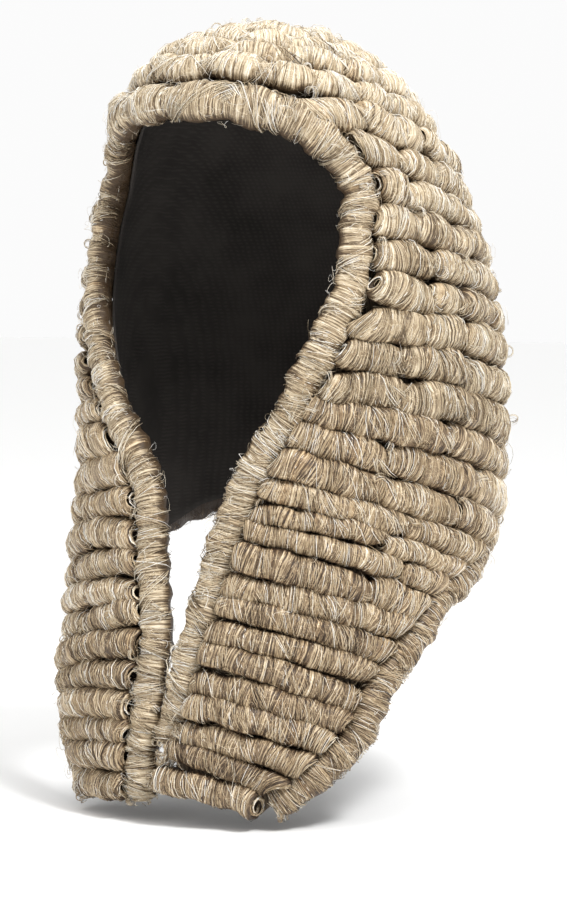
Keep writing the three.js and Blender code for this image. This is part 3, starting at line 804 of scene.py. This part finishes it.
# Crown: a small coiled curl at the top, with five rings of short curls round
# it. Each curl is horsehair rolled on a rod, baked, and sewn down end to end.
CURL_HEIGHT = 0.017
CURL_SAG = 0.0011
KICK_REACH, FLARE_REACH, PROUD_REACH = 0.016, 0.007, 0.018
LOOSE_REACH = 0.005
CREVICE_HAIRS, CREVICE_REACH = 46, 0.0030
COIL_TURNS, COIL_STEPS = 1.8, 60
COIL_REACH, COIL_DRAWN_IN = 0.0058, 0.0040
COIL_HEIGHT, COIL_RISE = 0.0081, 0.0062
COIL_RADIUS, COIL_THINNING = 0.0052, 0.0012
CROWN_BORDERS = [0.025, 0.056, 0.087, 0.118, 0.149, 0.18]


def row_path(top, bottom, angle, rise=0.0):
    """The middle line of the band between two border lines, at a curl's height
    over the cap; the half width is half the band, square to the row. A rise moves
    both lines up the cap."""
    lift = CLEARANCE + CURL_HEIGHT / 2
    upper = above_cap(angle, top - rise, lift + CURL_SAG)
    lower = above_cap(angle, bottom - rise, lift + CURL_SAG)
    centre = (upper + lower) / 2
    across = upper - lower
    along = unit(np.gradient(centre, axis=0))
    across = unit(across - along * (across * along).sum(-1, keepdims=True))
    band = np.abs(((upper - lower) * across).sum(-1))
    path = measured_path(centre, np.cross(along, across), band / 2, CURL_HEIGHT / 2)
    path["angle"] = angle
    return path


def curl_row(
    path, draw, lengths, tone, spread=1.0, taper=0.10, lean=6.0, fan=6.0, loose=80, end_hairs=3,
    overlap=0.0, hollows=(0.34, 0.48), flare=0.0, end_lift=0.0, kick=0.0,
):
    """Curls set end to end along a row. Each is drawn a length, a small shift off
    the row's line, a tilt, a wave and a fullness of its own, and reaches past its
    neighbours by the overlap. The kick raises one end of each, falling away along
    it by a power of the distance. At the row's own two ends the flare widens the
    curl and its end stands proud, at the last one by the end lift too. The lean
    and the fan slant the hair, as in wound_part, and the hollows bound how wide
    the open ends are."""
    total = path["far"][-1]
    marks, place = [0.0], 0.0
    while total - place > lengths[1]:
        place += draw.uniform(*lengths)
        marks.append(place)
    if total - place < lengths[0] * 0.6 and len(marks) > 1:
        marks.pop()
    marks.append(total)
    parts = []
    for begin, end in zip(marks[:-1], marks[1:]):
        own = dict(path)
        share = np.clip((path["far"] - begin) / (end - begin), 0, 1) - 0.5
        aside = draw.normal(0, 0.0004) * spread + share * draw.normal(0, 0.0018) * spread
        raised = draw.normal(0, 0.0006) * spread + share * draw.normal(0, 0.0018) * spread
        raised = raised - 0.0008 * spread * np.abs(2 * share) ** 3
        wave = 2 * np.pi * path["far"] / draw.uniform(0.016, 0.030)
        aside = aside + draw.uniform(0.0002, 0.0005) * spread * np.sin(wave + draw.uniform(0, 6.3))
        raised = raised + draw.uniform(0.0001, 0.0004) * spread * np.sin(wave + draw.uniform(0, 6.3))
        raised = np.maximum(raised, -0.0005)
        kicked = draw.integers(0, 2)
        gone = np.abs(path["far"] - (begin, end)[kicked]) / KICK_REACH
        raised = raised + kick * draw.uniform(0.1, 1.0) * np.clip(1 - gone, 0, 1) ** 1.4
        own["centre"] = path["centre"] + path["across"] * aside[:, None] + path["up"] * raised[:, None]
        fat = draw.uniform(0.96, 1.06)
        shade = tone + draw.normal(0, 0.035)
        first = begin + 0.0002 - overlap * (begin > 0)
        final = end - 0.0002 + overlap * (end < total)
        bends = [
            (draw.uniform(first, final), draw.uniform(0.003, 0.008), draw.normal(0, 0.055))
            for _ in range(int((final - first) / 0.012))
        ]
        for row_end in (0.0, total):
            if flare and row_end in (begin, end):
                bends.append((row_end, FLARE_REACH, flare * draw.uniform(0.4, 1.3)))
                proud = draw.uniform(0.0005, 0.0022) + (end_lift if row_end else 0.0)
                raised_end = proud * np.clip(1 - abs(row_end - path["far"]) / PROUD_REACH, 0, 1) ** 2
                own["centre"] = own["centre"] + path["up"] * raised_end[:, None]
        own["along"] = unit(np.gradient(own["centre"], axis=0))
        own["up"] = unit(path["up"] - own["along"] * (path["up"] * own["along"]).sum(-1, keepdims=True))
        own["across"] = np.cross(own["up"], own["along"])
        shape = {"fat": fat, "taper": taper}
        hollow = draw.uniform(*hollows)
        parts.append(shell_part(own, first, final, draw, shade, hollow=hollow, lobes=bends, **shape))
        leaning = lean + draw.normal(0, 6)
        parts.append(wound_part(
            own, first + 0.0006, final - 0.0006, draw, shade, lean=leaning, fan=fan, lobes=bends, **shape,
        ))
        inner_hairs = (5, 1) if kick else (2, 2)
        for place, inward, outer, hairs in (
            (first, 1, begin == 0, inner_hairs[kicked]),
            (final, -1, end == total, inner_hairs[1 - kicked]),
        ):
            count = end_hairs if outer else hairs
            parts.append(end_part(own, place, inward, draw, shade, count=count, **shape))
    parts.append(loose_part(path, draw, tone, int(total * loose), LOOSE_REACH))
    # Hairs that lie in the crevices beside the row, 0.1 darker: painted shade between the rows.
    for side in (0, 180):
        parts.append(loose_part(
            path, draw, tone - 0.1, int(total * CREVICE_HAIRS), CREVICE_REACH,
            toward=side, spread=25, rings=7,
        ))
    joints = np.array([0.001] + marks[1:-1] + [total - 0.001])
    places = np.clip(joints + draw.normal(0, 0.003, len(joints)), 0.002, total - 0.002)
    turns = draw.uniform(30, 150, len(places))
    parts.append(tuft_part(path, places, turns, draw.uniform(0.0022, 0.0040, len(places)), draw, tone))
    return parts


coil = np.linspace(0, 1, COIL_STEPS)
coil_turn = coil * 2 * np.pi * COIL_TURNS
coil_out = COIL_REACH - COIL_DRAWN_IN * coil
coil_centre = np.stack([
    coil_out * np.cos(coil_turn), coil_out * np.sin(coil_turn), COIL_HEIGHT + COIL_RISE * coil,
], -1)
coil_up = np.stack([0.3 * np.cos(coil_turn), 0.3 * np.sin(coil_turn), np.ones(COIL_STEPS)], -1)
coil_radius = COIL_RADIUS - COIL_THINNING * coil
coil_path = measured_path(coil_centre, coil_up, coil_radius, coil_radius)
coil_draw = np.random.default_rng(20)
hair_piece("crown_button_coil", [
    shell_part(coil_path, 0.0, coil_path["far"][-1], coil_draw, 0.6),
    wound_part(
        coil_path, 0.001, coil_path["far"][-1] - 0.001, coil_draw, 0.6,
        start=-70, finish=250, rings=9,
    ),
    end_part(coil_path, coil_path["far"][-1], -1, coil_draw, 0.6),
    tuft_part(
        coil_path, coil_draw.uniform(0.002, 0.016, 16), coil_draw.uniform(-10, 40, 16),
        coil_draw.uniform(0.0025, 0.0035, 16), coil_draw, 0.7,
    ),
], pale_hair, "horsehair_pale", "crown_button")

for number, (top, bottom) in enumerate(zip(CROWN_BORDERS[:-1], CROWN_BORDERS[1:]), 1):
    ring_start = 37.0 * number
    ring = row_path(top, bottom, np.arange(ring_start, ring_start + 361, 2.0))
    # The tone falls ring by ring, so the crown is darker towards its outer rings.
    curls = curl_row(
        ring, np.random.default_rng(30 + number), (0.017, 0.030), 0.87 - 0.026 * number,
        spread=2.4, taper=0.38, fan=42, loose=90, overlap=0.0026, hollows=(0.42, 0.54),
        kick=0.0013 * max(number - 2, 0),
    )
    hair_piece(f"crown_ring_{number}_curls", curls, pale_hair, "horsehair_pale", f"crown_ring_{number}")

# Head rows: nine rows of curls that go from one side of the face round the
# back to the other, sewn to the cap from the hairline down to the nape.
HEAD_BORDERS = [0.18, 0.217, 0.254, 0.29, 0.33, 0.367, 0.402, 0.437, 0.47, 0.503]
SHEAR_FADE, ROLL_PRESS = 0.035, 0.0012


def row_between(top, bottom, first, final, roll_first, roll_final, rise=0.0):
    """A row's path from one border roll to another. It is cut where its centre is
    about the roll's radius from the roll's centre line, and there it is sheared,
    so that its end lies along the roll. A rise lifts its last 35 degrees."""
    angle = np.arange(first, final, 0.5)
    path = row_path(top, bottom, angle, rise * np.clip(1 - (final - angle) / 35, 0, 1))
    middle = len(path["angle"]) // 2
    cuts = []
    for roll, part in ((roll_first, slice(0, middle)), (roll_final, slice(middle, None))):
        away = np.linalg.norm(path["centre"][part, None, :] - roll["centre"][None], axis=-1)
        near = np.argmin(away, axis=1)
        by_roll = (near > 0) & (near < len(roll["far"]) - 1)
        inside = np.nonzero(by_roll & (away.min(axis=1) < roll["half_width"][near] - ROLL_PRESS))[0]
        if part.start == 0:
            cut = inside[-1] + 1 if len(inside) else 0
        else:
            cut = middle + (inside[0] if len(inside) else away.shape[0]) - 1
        beside = near[cut - part.start]
        toward = unit(roll["centre"][beside] - path["centre"][cut])
        cuts.append((cut, toward * (0 < beside < len(roll["far"]) - 1)))
    (begin, toward_begin), (end, toward_end) = cuts
    end = max(end, begin + 2)
    cut = {key: value[begin:end + 1] for key, value in path.items()}
    cut["far"] = cut["far"] - cut["far"][0]
    shear = np.zeros(len(cut["far"]))
    to_go = cut["far"][-1] - cut["far"]
    for place, toward, gone in ((0, toward_begin, cut["far"]), (-1, toward_end, to_go)):
        facing = float(cut["along"][place] @ toward)
        facing = math.copysign(max(abs(facing), 0.6), facing)
        slope = np.clip(float(cut["across"][place] @ toward) / facing, -0.9, 0.9)
        shear = shear - slope * np.clip(1 - gone / SHEAR_FADE, 0, 1)
    cut["shear"] = shear
    return cut


for number, (top, bottom) in enumerate(zip(HEAD_BORDERS[:-1], HEAD_BORDERS[1:]), 1):
    middle = (top + bottom) / 2
    first = straight_column(FACE_EDGE, LEFT, middle)
    final = 360 - straight_column(FACE_EDGE, RIGHT, middle)
    path = row_between(top, bottom, first, final, face_path, face_path)
    # The tone falls row by row, so the rows are darker towards the nape.
    curls = curl_row(
        path, np.random.default_rng(50 + number),
        (0.017 + 0.0012 * number, 0.032 + 0.0018 * number), 0.67 - 0.022 * number,
        spread=2.0, taper=0.38, fan=26, overlap=0.0022, hollows=(0.46, 0.58),
        flare=0.14, end_hairs=4, kick=0.0036,
    )
    hair_piece(f"head_row_{number}_curls", curls, pale_hair, "horsehair_pale", f"head_row_{number}")

# Hem roll: horsehair wound round a core, sewn along the cap's lower edge from
# one lappet's foot round the nape to the other's.
HEM_ROLL_RADIUS = 0.0084
HEM_ROLL_END_LEFT, HEM_ROLL_END_RIGHT = 0.945, 0.972
hem_line = smooth_line(edge_line(HEM_EDGE, 1, 1, HEM_ROLL_END_LEFT, HEM_ROLL_END_RIGHT, False), 12)
hem_path = roll_path(hem_line, lambda run: np.full(len(run), HEM_ROLL_RADIUS))
hair_piece(
    "hem_roll_wound", wound_roll(hem_path, np.random.default_rng(12), lambda far: 0.017, 0.50, 18, 0.26),
    warm_hair, "horsehair_warm", "hem_roll",
)

# Lappet rows: below the nape, rows of long curls on each side that go from the
# face roll to the hem roll, down to the lappets' feet.
LEFT_BORDERS = [
    0.503, 0.534, 0.568, 0.602, 0.629, 0.652, 0.676, 0.71, 0.739, 0.765,
    0.792, 0.821, 0.85, 0.879, 0.907, 0.934, 0.963,
]
RIGHT_BORDERS = [
    0.503, 0.53, 0.561, 0.604, 0.643, 0.676, 0.71, 0.741, 0.771, 0.802,
    0.833, 0.863, 0.893, 0.921, 0.951, 0.982,
]
for side, sign, column, borders in (("left", 1, LEFT, LEFT_BORDERS), ("right", -1, RIGHT, RIGHT_BORDERS)):
    for number, (top, bottom) in enumerate(zip(borders[:-1], borders[1:]), 1):
        middle = (top + bottom) / 2
        ends = sorted([
            sign * straight_column(FACE_EDGE, column, middle),
            sign * straight_column(HEM_EDGE, 1, middle),
        ])
        rolls = (face_path, hem_path)[::sign]
        rise = 0.0086 * min(1.0, (len(borders) - 1 - number) / 5) if side == "right" else 0.0
        path = row_between(top, bottom, *ends, *rolls, rise)
        draw = np.random.default_rng(100 * column + number)
        at_foot = number >= len(borders) - 3
        # The tone falls row by row, darker towards the lappets' feet.
        curls = curl_row(
            path, draw, (0.045, 0.085), 0.57 - 0.006 * number, spread=1.7,
            taper=0.06 if at_foot else 0.22, hollows=(0.46, 0.58), flare=0.16,
            lean=16 if side == "left" else 9, end_hairs=12 if at_foot else 5,
            end_lift=0.0032 if side == "left" and number > 11 else 0.0,
        )
        if side == "left" and at_foot:
            curls.append(tuft_part(
                path, draw.uniform(-0.004, 0.002, 15), draw.uniform(60, 215, 15),
                draw.uniform(0.0022, 0.0036, 15), draw, 0.5,
            ))
        hair_piece(
            f"{side}_row_{number}_curls", curls, warm_hair, "horsehair_warm", f"{side}_row_{number}",
        )

# The stage: a plain pale floor under the lappets' feet and soft studio light
# from above, mostly from the camera's right.
FLOOR_GAP, FLOOR_REACH = 0.006, 14
FLOOR_COLOUR = (0.96, 0.96, 0.955, 1)
floor_corners = np.array([[-1, -1, 0], [1, -1, 0], [1, 1, 0], [-1, 1, 0]]) * float(FLOOR_REACH)
floor_corners[:, 2] = cad_box[0][2] - FLOOR_GAP
floor_mesh = fill_mesh("floor", floor_corners, np.array([[0, 1, 2, 3]]), np.zeros((0, 3), int))
floor = bpy.data.objects.new("floor", floor_mesh)
bpy.context.scene.collection.objects.link(floor)
floor_material, _, floor_shader, _ = start_material("pale_floor")
floor_shader.inputs["Base Color"].default_value = FLOOR_COLOUR
floor_shader.inputs["Roughness"].default_value = 0.7
floor_mesh.materials.append(floor_material)

world = bpy.data.worlds.new("studio")
world.use_nodes = True
sky = world.node_tree
direction = sky.nodes.new("ShaderNodeTexCoord")
height = sky.nodes.new("ShaderNodeSeparateXYZ")
bands = sky.nodes.new("ShaderNodeValToRGB")
sky.links.new(direction.outputs["Generated"], height.inputs[0])
sky.links.new(height.outputs["Z"], bands.inputs["Fac"])
sky.links.new(bands.outputs["Color"], sky.nodes["Background"].inputs["Color"])
sky.nodes["Background"].inputs["Strength"].default_value = 1.5
SKY_BANDS = ((0.0, 0.645), (0.13, 0.645), (0.2, 0.17), (0.5, 0.17), (0.8, 1.05))
while len(bands.color_ramp.elements) < len(SKY_BANDS):
    bands.color_ramp.elements.new(0.5)
for element, (position, level) in zip(bands.color_ramp.elements, SKY_BANDS):
    element.position = position
    element.color = (level, level, level, 1)
bpy.context.scene.world = world
bpy.context.scene.view_settings.view_transform = "Standard"


def soft_light(name, place, size, power):
    """A square lamp at a place in the camera's right, up and back directions from
    the wig's middle, turned to face that middle."""
    data = bpy.data.lights.new(name, "AREA")
    data.size, data.energy = size, power
    lamp = bpy.data.objects.new(name, data)
    middle = np.array([0.0, 0.0, -0.18])
    offset = view_right * place[0] + np.array([0, 0, 1.0]) * place[1] + view_back * place[2]
    away = unit(offset)
    side = unit(np.cross([0, 0, 1.0], away))
    top = np.cross(away, side)
    at = middle + offset
    lamp.matrix_world = Matrix([[side[i], top[i], away[i], at[i]] for i in range(3)] + [[0, 0, 0, 1]])
    bpy.context.scene.collection.objects.link(lamp)


soft_light("key_light", (0.8, 1.6, 1.3), 0.50, 43)
soft_light("fill_light", (-1.5, 0.6, 1.0), 1.2, 6)
